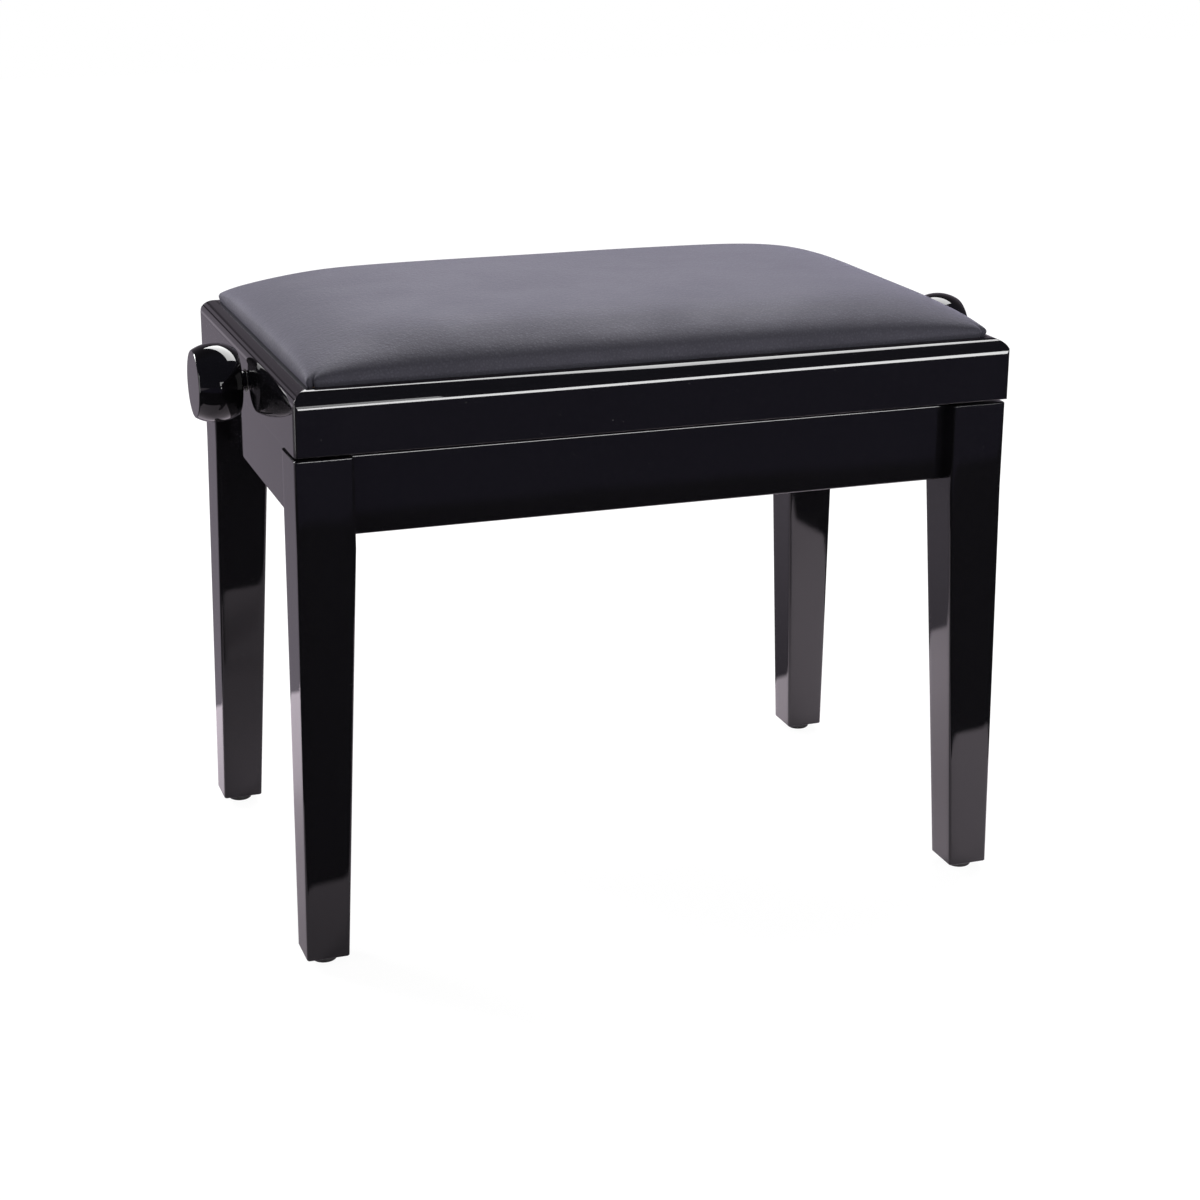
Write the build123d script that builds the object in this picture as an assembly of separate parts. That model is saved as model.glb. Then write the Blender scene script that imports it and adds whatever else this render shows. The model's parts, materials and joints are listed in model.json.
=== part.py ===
from build123d import *
import os
from math import asin, cos, degrees, pi, sin, sqrt

# A piano bench with a screw-driven scissor lift, standing at its lowest height.
# Millimetres. +X runs to the right seen from the front, +Y to the back, +Z up.
# The origin is on the floor under the middle of the seat.

# Seat frame
SEAT_WIDTH = 550.0
SEAT_DEPTH = 350.0
FRAME_HEIGHT = 46.0
RAIL_WIDTH = 35.0
ROUND_OVER = 12.0
LEDGE = 2.5
CORNER_EASE = 3.5
EDGE_EASE = 1.5
UNDER_EASE = 0.5

# Mitre keys
KEY_THICK = 4.0
KEY_SIDE = 20.0
KEY_SETBACK = 18.0
KEY_UP = 8.0

# Pad: a board, its foam and the cover that wraps both
BOARD_THICK = 10.0
COVER_THICK = 2.0
COVER_LIP = 9.0
PAD_CLEARANCE = 0.5
PAD_EDGE = 4.5
PAD_BULGE = 1.2
PAD_CROWN = 29.0
PAD_CORNER = 3.0
SHOULDER_ROUND = 0.6
SHOULDER_POWER = 5.1
CROWN_POWER = 2.2
CROWN_LEVELS = 10
FOAM_CLEARANCE = 0.3

# Legs and glides
LEG_LENGTH = 378.5
LEG_TOP = 42.5
LEG_FOOT = 32.0
LEG_SPLAY = 3.5
LEG_EASE = 2.0
TAPER_BELOW_APRON = 6.0
SIDE_OVERHANG = 0.5
FRONT_OVERHANG = 3.5
FRAME_GAP = 3.0
GLIDE_HEIGHT = 6.5
GLIDE_RADIUS = 10.0
GLIDE_DOME = 2.5
NAIL_RADIUS = 1.5
NAIL_LENGTH = 15.0

# Aprons
APRON_HEIGHT = 58.5
APRON_THICK = 17.0
APRON_SETBACK = 14.5
SIDE_SETBACK = 11.0
APRON_DROP = 2.0

# Corner brackets with their hanger bolts
BRACKET_THICK = 2.0
BRACKET_HEIGHT = 22.0
BRACKET_FLANGE = 18.0
BRACKET_DROP = 2.0
BRACKET_STANDOFF = 15.0
BOLT_RADIUS = 4.0
BOLT_IN_LEG = 26.0
BOLT_TAIL = 4.0
NUT_FLATS = 13.0
NUT_HEIGHT = 6.5

# Wood screws
SCREW_RADIUS = 2.0
SCREW_LENGTH = 13.0
SCREW_HEAD_RADIUS = 4.0
SCREW_HEAD_HEIGHT = 2.4
RAIL_SCREW_PITCH = 120.0
BOARD_SCREW_X = 150.0
BOARD_SCREW_Y = 80.0
BOARD_SCREW_INSET = 29.0
BOARD_SCREW_BITE = 7.0
BOARD_SCREW_WOOD = 18.0

# Scissor lift
LIFT = 100.0
PIVOT_MARGIN = 32.0
LOWER_PIVOT_UP = 17.0
ARM_WIDTH = 22.0
ARM_THICK = 4.0
ARM_GAP = 1.0
CHANNEL_WALL = 2.0
CHANNEL_DEPTH = 14.0
CHANNEL_MARGIN = 10.0
PIN_RADIUS = 5.0
SHOULDER_RADIUS = 8.0
CLIP_THICK = 1.5
PIN_TAIL = 3.0
BUSH_RADIUS = 9.0
BUSH_SLEEVE = 7.0
TIE_RADIUS = 7.0
TIE_ALONG = 70.0
CENTRE_HEAD_RADIUS = 8.5
CENTRE_HEAD_HEIGHT = 3.5
CENTRE_NUT_HEIGHT = 5.0

# Spindle, knobs and nut
SPINDLE_FORWARD = 10.0
SPINDLE_RADIUS = 6.0
THREAD_PITCH = 3.0
THREAD_DEPTH = 1.2
THREAD_RUNOUT = 2
KNOB_RADIUS = 29.7
KNOB_LENGTH = 33.3
KNOB_CENTRE = 16.0
KNOB_GAP = 6.2
KNOB_EASE = 1.5
KNOB_BACK_EASE = 3.0
KNOB_NECK_RADIUS = 7.5
KNOB_CAP = 8.0
BUSHING_RADIUS = 9.0
BUSHING_FLANGE_RADIUS = 13.0
BUSHING_FLANGE = 2.0
COLLAR_RADIUS = 12.0
COLLAR_LENGTH = 8.0
SET_SCREW_RADIUS = 2.5
SET_SCREW_LENGTH = 5.0
NUT_BAR = 26.0
NUT_ROOM = 2.0
NUT_RADIUS = 10.0
NUT_FLANGE_RADIUS = 13.0
NUT_FLANGE = 4.0

# Clearances: fits between round pieces, loose running room, and play in the open linkage
FIT = 0.05
RUNNING = 0.3
TIP_ROOM = 0.5
SLIDE_PLAY = 1.05
CENTRE_PLAY = 1.5
NUT_PLAY = 1.0

# Heights
leg_top_z = GLIDE_HEIGHT + LEG_LENGTH
apron_top = leg_top_z - APRON_DROP
apron_bottom = apron_top - APRON_HEIGHT
taper_z = apron_bottom - TAPER_BELOW_APRON
frame_bottom = leg_top_z + FRAME_GAP
frame_top = frame_bottom + FRAME_HEIGHT
rebate_depth = BOARD_THICK + COVER_THICK
rebate_floor = frame_top - rebate_depth
bracket_top = apron_top - BRACKET_DROP
bracket_z = bracket_top - BRACKET_HEIGHT / 2
lower_z = apron_bottom + LOWER_PIVOT_UP
upper_z = rebate_floor - NUT_ROOM - NUT_BAR / 2

# Half widths and half depths of the walls that pieces seat on
half_width = SEAT_WIDTH / 2
half_depth = SEAT_DEPTH / 2
leg_x = half_width - SIDE_OVERHANG
leg_y = half_depth - FRONT_OVERHANG
leg_in_x = leg_x - LEG_TOP
leg_in_y = leg_y - LEG_TOP
foot_x = leg_x + LEG_SPLAY - LEG_FOOT / 2
foot_y = leg_y + LEG_SPLAY - LEG_FOOT / 2
apron_in_x = leg_x - APRON_SETBACK - APRON_THICK
apron_in_y = leg_y - APRON_SETBACK - APRON_THICK
rail_in_x = half_width - RAIL_WIDTH
rail_in_y = half_depth - RAIL_WIDTH
pad_inset = ROUND_OVER + LEDGE
pad_x = half_width - pad_inset
pad_y = half_depth - pad_inset

# The lift's planes, counted inwards from the nearer of the two walls
wall_y = min(apron_in_y, rail_in_y)
channel_tip = wall_y - CHANNEL_DEPTH
arm_a_out = channel_tip - ARM_GAP
arm_a_in = arm_a_out - ARM_THICK
arm_b_out = arm_a_in - ARM_GAP
arm_b_in = arm_b_out - ARM_THICK
bush_in = channel_tip + CHANNEL_WALL
bush_out = wall_y - CHANNEL_WALL - ARM_GAP

# The lift's linkage at its lowest height
pivot_x = leg_in_x - PIVOT_MARGIN
channel_end = leg_in_x - CHANNEL_MARGIN
arm_length = 2 * pivot_x
arm_rise = upper_z - lower_z
arm_angle = asin(arm_rise / arm_length)
raised_angle = asin((arm_rise + LIFT) / arm_length)
slide_x = arm_length * cos(arm_angle) - pivot_x
nut_travel = arm_length * (cos(arm_angle) - cos(raised_angle))
centre_x = (slide_x - pivot_x) / 2
centre_z = (upper_z + lower_z) / 2

CORNERS = {
    "front_left": (-1, -1),
    "front_right": (1, -1),
    "back_left": (-1, 1),
    "back_right": (1, 1),
}
SIDES = {"left": -1, "right": 1}
FACES = {"front": -1, "back": 1}


def block(x0, x1, y0, y1, z0, z1):
    """A box between two corners."""
    size = Box(abs(x1 - x0), abs(y1 - y0), abs(z1 - z0))
    return Pos((x0 + x1) / 2, (y0 + y1) / 2, (z0 + z1) / 2) * size


def rod(start, end, radius):
    """A round bar between two points."""
    axis = Vector(*end) - Vector(*start)
    bar = Cylinder(radius, axis.length, align=(Align.CENTER, Align.CENTER, Align.MIN))
    return Plane(origin=start, z_dir=axis) * bar


def cross_rod(x, z, y0, y1, radius):
    """A round bar along Y."""
    return rod((x, y0, z), (x, y1, z), radius)


def long_rod(x0, x1, radius):
    """A round bar along X on the spindle's axis."""
    return rod((x0, -SPINDLE_FORWARD, upper_z), (x1, -SPINDLE_FORWARD, upper_z), radius)


def at_corner(shape, side, face):
    """Mirror a piece made for the front left corner to another corner."""
    if side > 0:
        shape = mirror(shape, about=Plane.YZ)
    if face > 0:
        shape = mirror(shape, about=Plane.XZ)
    return shape


def group(solids):
    """Separate solids of one node."""
    return Compound([solid for piece in solids for solid in piece.solids()])


def inward(point, direction, distance):
    """The point that lies a distance away along a unit direction."""
    return tuple(p + d * distance for p, d in zip(point, direction))


def screw(seat, direction):
    """A pan-head wood screw: seat is under its head, direction points into the wood."""
    shank = rod(seat, inward(seat, direction, SCREW_LENGTH), SCREW_RADIUS)
    head = rod(seat, inward(seat, direction, -SCREW_HEAD_HEIGHT), SCREW_HEAD_RADIUS)
    rims = head.edges().filter_by(GeomType.CIRCLE)
    top_rim = rims.sort_by(lambda rim: (rim.center() - Vector(*seat)).length)[-1]
    return fillet(top_rim, SCREW_HEAD_HEIGHT / 2) + shank


def pilot(seat, direction):
    """The hole that a wood screw fills."""
    start = inward(seat, direction, -TIP_ROOM)
    return rod(start, inward(seat, direction, SCREW_LENGTH + TIP_ROOM), SCREW_RADIUS + FIT)


# Fastener places
bracket_reach = 2 * (LEG_TOP - APRON_SETBACK - APRON_THICK) + BRACKET_STANDOFF * sqrt(2)
flange_mid = bracket_reach + BRACKET_FLANGE / 2


def bracket_screw_seats():
    """Head seats and directions of the front left bracket's two screws."""
    front = (-apron_in_x + flange_mid, -apron_in_y + BRACKET_THICK, bracket_z)
    left = (-apron_in_x + BRACKET_THICK, -apron_in_y + flange_mid, bracket_z)
    return [(front, (0, -1, 0)), (left, (-1, 0, 0))]


def channel_screw_seats(inner_y, z, face):
    """Head seats and directions of one channel's screws."""
    return [((x, face * (inner_y - CHANNEL_WALL), z), (0, face, 0))
            for x in (-RAIL_SCREW_PITCH, 0, RAIL_SCREW_PITCH)]


def board_screw_places():
    """Plan places of the screws that hold the board to the frame."""
    y = half_depth - BOARD_SCREW_INSET
    x = half_width - BOARD_SCREW_INSET
    along = [(side * BOARD_SCREW_X, face * y) for side in (-1, 1) for face in (-1, 1)]
    across = [(side * x, face * BOARD_SCREW_Y) for side in (-1, 1) for face in (-1, 1)]
    return along + across


# Legs, glides and aprons
def leg_section(x, y, side, z):
    """A leg's square section round a place of the plan, at a height."""
    return Pos(x, y, z) * RectangleRounded(side, side, LEG_EASE)


def make_leg():
    """The front left leg: upright beside the aprons, then tapered to a foot that stands out a little."""
    foot = leg_section(-foot_x, -foot_y, LEG_FOOT, GLIDE_HEIGHT)
    knee = leg_section(-leg_x + LEG_TOP / 2, -leg_y + LEG_TOP / 2, LEG_TOP, taper_z)
    leg = loft([foot, knee], ruled=True) + extrude(knee, leg_top_z - taper_z)
    ends = leg.faces().sort_by(Axis.Z)
    leg = chamfer(ends[-1].edges() + ends[0].edges(), EDGE_EASE / 2)
    nail_top = GLIDE_HEIGHT + NAIL_LENGTH + TIP_ROOM
    nail_hole = rod((-foot_x, -foot_y, GLIDE_HEIGHT), (-foot_x, -foot_y, nail_top), NAIL_RADIUS + FIT)
    return leg - nail_hole - bolt_bar(BOLT_RADIUS + FIT, TIP_ROOM)


def bolt_point(distance):
    """A point on the hanger bolt's axis, counted from the leg's inner corner."""
    step = distance / sqrt(2)
    return (-leg_in_x + step, -leg_in_y + step, bracket_z)


def bolt_bar(radius, extra):
    """The front left hanger bolt's shank, or its hole when made larger."""
    end = BRACKET_STANDOFF + BRACKET_THICK + NUT_HEIGHT + BOLT_TAIL
    return rod(bolt_point(-BOLT_IN_LEG - extra), bolt_point(end), radius)


def make_bolt_nut():
    """The nut that pulls the front left leg into its corner."""
    start = bolt_point(BRACKET_STANDOFF + BRACKET_THICK)
    end = bolt_point(BRACKET_STANDOFF + BRACKET_THICK + NUT_HEIGHT)
    axis = Vector(*end) - Vector(*start)
    hexagon = RegularPolygon(NUT_FLATS / 2, 6, major_radius=False)
    body = extrude(Plane(origin=start, z_dir=axis) * hexagon, NUT_HEIGHT)
    return body - bolt_bar(BOLT_RADIUS + FIT, 0)


def make_bracket():
    """The front left corner bracket: a diagonal plate with a flange on each apron."""
    inner = bracket_reach + BRACKET_THICK * (sqrt(2) - 1)
    end = bracket_reach + BRACKET_FLANGE
    outline = [
        (bracket_reach, 0),
        (end, 0),
        (end, BRACKET_THICK),
        (inner, BRACKET_THICK),
        (BRACKET_THICK, inner),
        (BRACKET_THICK, end),
        (0, end),
        (0, bracket_reach),
    ]
    plate = extrude(Polygon(*outline, align=None), BRACKET_HEIGHT)
    bracket = Pos(-apron_in_x, -apron_in_y, bracket_z - BRACKET_HEIGHT / 2) * plate
    for seat, direction in bracket_screw_seats():
        bracket -= pilot(seat, direction)
    return bracket - bolt_bar(BOLT_RADIUS + RUNNING, 0)


def make_glide():
    """The front left foot glide with its nail."""
    flat = GLIDE_RADIUS - GLIDE_DOME
    outline = Polyline((0, 0), (flat, 0)) + ThreePointArc(
        (flat, 0),
        (flat + GLIDE_DOME * sin(pi / 4), GLIDE_DOME * (1 - cos(pi / 4))),
        (GLIDE_RADIUS, GLIDE_DOME),
    ) + Polyline(
        (GLIDE_RADIUS, GLIDE_DOME),
        (GLIDE_RADIUS, GLIDE_HEIGHT),
        (NAIL_RADIUS, GLIDE_HEIGHT),
        (NAIL_RADIUS, GLIDE_HEIGHT + NAIL_LENGTH),
        (0, GLIDE_HEIGHT + NAIL_LENGTH),
        (0, 0),
    )
    turned = revolve(Plane.XZ * make_face(outline), Axis.Z)
    return Pos(-foot_x, -foot_y, 0) * turned


def make_long_apron():
    """The front apron with the holes of its channel and bracket screws."""
    out_y = -leg_y + APRON_SETBACK
    apron = block(-leg_in_x, leg_in_x, out_y, -apron_in_y, apron_bottom, apron_top)
    shown = apron.edges().filter_by(Axis.X).group_by(Axis.Y)[0]
    apron = fillet(shown, EDGE_EASE)
    for seat, direction in channel_screw_seats(apron_in_y, lower_z, -1):
        apron -= pilot(seat, direction)
    for side in SIDES.values():
        seat, direction = bracket_screw_seats()[0]
        apron -= at_corner(pilot(seat, direction), side, -1)
    return apron


def make_side_apron():
    """The left apron with the holes of its bracket screws."""
    out_x = -leg_x + SIDE_SETBACK
    apron = block(out_x, -apron_in_x, -leg_in_y, leg_in_y, apron_bottom, apron_top)
    shown = apron.edges().filter_by(Axis.Y).group_by(Axis.X)[0]
    apron = fillet(shown, EDGE_EASE)
    for face in FACES.values():
        seat, direction = bracket_screw_seats()[1]
        apron -= at_corner(pilot(seat, direction), -1, face)
    return apron


# Seat frame
def rail_section():
    """A rail's section: X counts inwards from its outer face, Y counts up from its underside."""
    wall = pad_inset - PAD_CLEARANCE
    arc_mid = ROUND_OVER * (1 - sin(pi / 4))
    outline = Polyline(
        (0, UNDER_EASE),
        (UNDER_EASE, 0),
        (RAIL_WIDTH, 0),
        (RAIL_WIDTH, FRAME_HEIGHT - rebate_depth),
        (wall, FRAME_HEIGHT - rebate_depth),
        (wall, FRAME_HEIGHT),
        (ROUND_OVER, FRAME_HEIGHT),
    ) + ThreePointArc(
        (ROUND_OVER, FRAME_HEIGHT),
        (arc_mid, FRAME_HEIGHT - arc_mid),
        (0, FRAME_HEIGHT - ROUND_OVER),
    ) + Line((0, FRAME_HEIGHT - ROUND_OVER), (0, UNDER_EASE))
    return make_face(outline)


def rail_plan(long_rail):
    """The mitred plan of the front rail or of the left rail."""
    if long_rail:
        corners = [
            (-half_width, -half_depth),
            (half_width, -half_depth),
            (half_width - RAIL_WIDTH, -half_depth + RAIL_WIDTH),
            (-half_width + RAIL_WIDTH, -half_depth + RAIL_WIDTH),
        ]
    else:
        corners = [
            (-half_width, -half_depth),
            (-half_width + RAIL_WIDTH, -half_depth + RAIL_WIDTH),
            (-half_width + RAIL_WIDTH, half_depth - RAIL_WIDTH),
            (-half_width, half_depth),
        ]
    return Polygon(*corners, align=None) & RectangleRounded(SEAT_WIDTH, SEAT_DEPTH, CORNER_EASE)


def board_screw_hole(x, y):
    """The counterbored hole of one board screw in a rail."""
    shoulder = rebate_floor - BOARD_SCREW_WOOD
    shank = rod((x, y, frame_bottom), (x, y, rebate_floor), SCREW_RADIUS + RUNNING)
    head = rod((x, y, frame_bottom), (x, y, shoulder), SCREW_HEAD_RADIUS + RUNNING)
    return shank + head


def make_board_screw(x, y):
    """A long screw through a rail into the board."""
    shoulder = rebate_floor - BOARD_SCREW_WOOD
    tip = rebate_floor + COVER_THICK + BOARD_SCREW_BITE
    shank = rod((x, y, shoulder), (x, y, tip), SCREW_RADIUS)
    return shank + rod((x, y, shoulder - SCREW_HEAD_HEIGHT), (x, y, shoulder), SCREW_HEAD_RADIUS)


def make_key(extra):
    """The front left mitre key, or its slot when made larger."""
    plate = Box(KEY_SIDE + 2 * extra, KEY_SIDE + 2 * extra, KEY_THICK + 2 * extra)
    x = -half_width + KEY_SETBACK
    y = -half_depth + KEY_SETBACK
    return Pos(x, y, frame_bottom + KEY_UP) * (Rot(0, 0, 45) * plate)


def cut_rail(rail):
    """Take the holes of the board screws and the slots of the mitre keys out of a rail."""
    for x, y in board_screw_places():
        rail -= board_screw_hole(x, y)
    for side, face in CORNERS.values():
        rail -= at_corner(make_key(FIT), side, face)
    return rail


def make_long_rail():
    """The front rail of the seat frame."""
    section = Plane(origin=(-half_width, -half_depth, frame_bottom), x_dir=(0, 1, 0), z_dir=(1, 0, 0))
    bar = extrude(section * rail_section(), SEAT_WIDTH)
    rail = bar & extrude(Pos(0, 0, frame_bottom) * rail_plan(True), FRAME_HEIGHT)
    for seat, direction in channel_screw_seats(rail_in_y, upper_z, -1):
        rail -= pilot(seat, direction)
    return cut_rail(rail)


def make_side_rail():
    """The left rail of the seat frame with the bore of its spindle bushing."""
    section = Plane(origin=(-half_width, half_depth, frame_bottom), x_dir=(1, 0, 0), z_dir=(0, -1, 0))
    bar = extrude(section * rail_section(), SEAT_DEPTH)
    rail = bar & extrude(Pos(0, 0, frame_bottom) * rail_plan(False), FRAME_HEIGHT)
    rail -= long_rod(-half_width - TIP_ROOM, -rail_in_x + TIP_ROOM, BUSHING_RADIUS + FIT)
    return cut_rail(rail)


# Pad
def pad_level(x, y, z, radius):
    """One outline of the pad at a height."""
    return Pos(0, 0, z) * RectangleRounded(2 * x, 2 * y, radius)


def crown(inset):
    """The pad above the frame: drawn in at the frame, then a bulge, then the crowned top."""
    wide_x = pad_x + PAD_BULGE - inset
    wide_y = pad_y + PAD_BULGE - inset
    height = PAD_CROWN - inset
    levels = [
        pad_level(pad_x - inset, pad_y - inset, frame_top, PAD_CORNER),
        pad_level(wide_x, wide_y, frame_top + PAD_EDGE, PAD_CORNER),
    ]
    for step in range(1, CROWN_LEVELS + 1):
        level = sin(step / (CROWN_LEVELS + 1) * pi / 2)
        share = (1 - level ** CROWN_POWER) ** (1 / SHOULDER_POWER)
        half_x = wide_x * share
        half_y = wide_y * share
        radius = PAD_CORNER + SHOULDER_ROUND * level * min(half_x, half_y)
        z = frame_top + PAD_EDGE + level * height
        levels.append(pad_level(half_x, half_y, z, radius))
    return loft(levels, ruled=True)


def make_board():
    """The plywood board inside the cover."""
    x = pad_x - COVER_THICK - FOAM_CLEARANCE
    y = pad_y - COVER_THICK - FOAM_CLEARANCE
    board = block(-x, x, -y, y, rebate_floor + COVER_THICK, frame_top)
    for px, py in board_screw_places():
        top = rebate_floor + COVER_THICK + BOARD_SCREW_BITE + TIP_ROOM
        board -= rod((px, py, rebate_floor), (px, py, top), SCREW_RADIUS + FIT)
    return board


def make_cover():
    """The leatherette cover: crowned top, skirt in the rebate, lip turned under the board."""
    skirt = extrude(pad_level(pad_x, pad_y, rebate_floor, PAD_CORNER), rebate_depth)
    inner_x = pad_x - COVER_THICK
    inner_y = pad_y - COVER_THICK
    board_room = block(-inner_x, inner_x, -inner_y, inner_y, rebate_floor + COVER_THICK, frame_top)
    mouth_x = pad_x - COVER_LIP
    mouth_y = pad_y - COVER_LIP
    mouth = block(-mouth_x, mouth_x, -mouth_y, mouth_y, rebate_floor, frame_top)
    return skirt + crown(0) - crown(COVER_THICK) - board_room - mouth


# Channels, pins and arms
def make_channel(inner_y, z, face):
    """A steel channel on a wall, open towards the middle, with the hole of its fixed pivot pin."""
    inner = BUSH_RADIUS + SLIDE_PLAY
    outer = inner + CHANNEL_WALL
    wall = face * inner_y
    web = face * (inner_y - CHANNEL_WALL)
    tip = face * channel_tip
    channel = block(-channel_end, channel_end, wall, tip, z - outer, z + outer)
    channel -= block(-channel_end, channel_end, web, tip, z - inner, z + inner)
    for seat, direction in channel_screw_seats(inner_y, z, face):
        channel -= pilot(seat, direction)
    return channel - cross_rod(-pivot_x, z, wall, web, PIN_RADIUS + FIT)


def make_pivot_pin(inner_y, arm_out, arm_in, z, face):
    """A shouldered pin from a channel's web through one arm."""
    web = inner_y - CHANNEL_WALL
    tail = arm_in - ARM_GAP - CLIP_THICK - PIN_TAIL
    shank = cross_rod(-pivot_x, z, face * inner_y, face * tail, PIN_RADIUS)
    return shank + cross_rod(-pivot_x, z, face * web, face * (arm_out + RUNNING), SHOULDER_RADIUS)


def make_pivot_clip(arm_in, z, face):
    """The ring that keeps an arm on its pivot pin."""
    start = face * (arm_in - RUNNING)
    end = face * (arm_in - RUNNING - CLIP_THICK)
    ring = cross_rod(-pivot_x, z, start, end, SHOULDER_RADIUS)
    return ring - cross_rod(-pivot_x, z, start, end, PIN_RADIUS + FIT)


def flat_arm(y_out, y_in, face, centre_radius):
    """A flat bar with round ends, lying along +X from its first pivot, with its three holes."""
    outline = SlotCenterToCenter(arm_length, ARM_WIDTH)
    end_hole = Circle(PIN_RADIUS + FIT)
    outline -= Pos(-arm_length / 2, 0) * end_hole
    outline -= Pos(arm_length / 2, 0) * end_hole
    outline -= Circle(centre_radius)
    bar = extrude(Plane.XZ * outline, ARM_THICK / 2, both=True)
    return Pos(arm_length / 2, face * (y_out + y_in) / 2, 0) * bar


def tie_place():
    """The middle of the tie rod between the two lifting arms, across X and Z."""
    return (-pivot_x + TIE_ALONG * cos(arm_angle), lower_z + TIE_ALONG * sin(arm_angle))


def make_lift_arm(face):
    """An arm hinged on a lower channel, rising to the right."""
    arm = flat_arm(arm_a_out, arm_a_in, face, PIN_RADIUS + FIT)
    arm = Pos(-pivot_x, 0, lower_z) * (Rot(0, -degrees(arm_angle), 0) * arm)
    x, z = tie_place()
    return arm - cross_rod(x, z, face * arm_a_out, face * arm_a_in, PIN_RADIUS + FIT)


def make_cross_arm(face):
    """An arm hinged on an upper channel, falling to the right, with a loose hole at the crossing."""
    arm = flat_arm(arm_b_out, arm_b_in, face, PIN_RADIUS + CENTRE_PLAY)
    return Pos(-pivot_x, 0, upper_z) * (Rot(0, degrees(arm_angle), 0) * arm)


def tie_rod(x, z, seat_y, end_y):
    """A rod between two arms: thick between them, thin where it passes through."""
    return cross_rod(x, z, -end_y, end_y, PIN_RADIUS) + cross_rod(x, z, -seat_y, seat_y, TIE_RADIUS)


def make_centre_bolt(face):
    """The bolt at the crossing of the arms, tight in the lifting arm."""
    nut_face = arm_b_in - RUNNING
    tail = nut_face - CENTRE_NUT_HEIGHT - PIN_TAIL
    head_top = arm_a_out + CENTRE_HEAD_HEIGHT
    shank = cross_rod(centre_x, centre_z, face * arm_a_out, face * tail, PIN_RADIUS)
    return shank + cross_rod(centre_x, centre_z, face * head_top, face * arm_a_out, CENTRE_HEAD_RADIUS)


def make_centre_nut(face):
    """The lock nut on a centre bolt."""
    nut_face = face * (arm_b_in - RUNNING)
    far_face = face * (arm_b_in - RUNNING - CENTRE_NUT_HEIGHT)
    nut = cross_rod(centre_x, centre_z, nut_face, far_face, CENTRE_HEAD_RADIUS)
    return nut - cross_rod(centre_x, centre_z, nut_face, far_face, PIN_RADIUS + FIT)


def make_bush(x, z, sleeve_start, face):
    """A plastic guide bush that runs in a channel, with a sleeve that keeps it off its arm."""
    start = face * (sleeve_start + RUNNING)
    bush = cross_rod(x, z, start, face * bush_out, BUSH_SLEEVE)
    bush += cross_rod(x, z, face * bush_in, face * bush_out, BUSH_RADIUS)
    return bush - cross_rod(x, z, start, face * bush_out, PIN_RADIUS + FIT)


# Spindle, knobs and nut
def make_spindle():
    """The spindle: a plain rod with the ridges of its thread where the nut runs."""
    end = half_width + KNOB_GAP + KNOB_LENGTH - KNOB_CAP
    runout = THREAD_RUNOUT * THREAD_PITCH
    thread_end = slide_x + NUT_BAR / 2 + NUT_FLANGE + runout
    thread_start = slide_x - nut_travel - NUT_BAR / 2 - runout
    root = SPINDLE_RADIUS - THREAD_DEPTH
    points = [(-end, 0), (-end, SPINDLE_RADIUS)]
    for turn in range(round((thread_end - thread_start) / THREAD_PITCH)):
        x = thread_start + turn * THREAD_PITCH
        points += [
            (x, SPINDLE_RADIUS),
            (x + THREAD_PITCH / 4, root),
            (x + THREAD_PITCH / 2, root),
            (x + 3 * THREAD_PITCH / 4, SPINDLE_RADIUS),
        ]
    points += [(end, SPINDLE_RADIUS), (end, 0), (-end, 0)]
    turned = revolve(Plane.XZ * make_face(Polyline(*points)), Axis.X)
    return Pos(0, -SPINDLE_FORWARD, upper_z) * turned


def set_screw_place():
    """How far the knobs' set screws sit behind the flat faces of the knobs."""
    return KNOB_LENGTH - KNOB_BACK_EASE - SET_SCREW_LENGTH


def make_knob():
    """The left knob: a ball cut flat in front and behind, with a neck behind it, bored for the spindle."""
    face_radius = sqrt(KNOB_RADIUS ** 2 - KNOB_CENTRE ** 2)
    back_radius = sqrt(KNOB_RADIUS ** 2 - (KNOB_LENGTH - KNOB_CENTRE) ** 2)
    outline = Line((0, 0), (0, face_radius)) + ThreePointArc(
        (0, face_radius),
        (KNOB_CENTRE, KNOB_RADIUS),
        (KNOB_LENGTH, back_radius),
    ) + Polyline((KNOB_LENGTH, back_radius), (KNOB_LENGTH, 0), (0, 0))
    ball = revolve(Plane.XZ * make_face(outline), Axis.X)
    front_rim = ball.edges().filter_by(GeomType.CIRCLE).group_by(Axis.X)[0]
    ball = fillet(front_rim, KNOB_EASE)
    back_rim = ball.edges().filter_by(GeomType.CIRCLE).group_by(Axis.X)[-1]
    ball = fillet(back_rim, KNOB_BACK_EASE)
    knob = Pos(-half_width - KNOB_GAP - KNOB_LENGTH, -SPINDLE_FORWARD, upper_z) * ball
    knob += long_rod(-half_width - KNOB_GAP - KNOB_BACK_EASE, -half_width - RUNNING, KNOB_NECK_RADIUS)
    bore_end = -half_width - KNOB_GAP - KNOB_LENGTH + KNOB_CAP
    knob -= long_rod(bore_end - TIP_ROOM, -half_width, SPINDLE_RADIUS + FIT)
    return knob - knob_screw_hole()


def knob_screw_x():
    """Where the left knob's set screw stands along X."""
    return -half_width - KNOB_GAP - KNOB_LENGTH + set_screw_place()


def knob_screw_hole():
    """The radial hole of the left knob's set screw, opening downwards."""
    x = knob_screw_x()
    low = upper_z - KNOB_RADIUS
    return rod((x, -SPINDLE_FORWARD, low), (x, -SPINDLE_FORWARD, upper_z), SET_SCREW_RADIUS + FIT)


def collar_middle():
    """Where the left thrust collar's middle lies along X."""
    return -rail_in_x + BUSHING_FLANGE + RUNNING + COLLAR_LENGTH / 2


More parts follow.
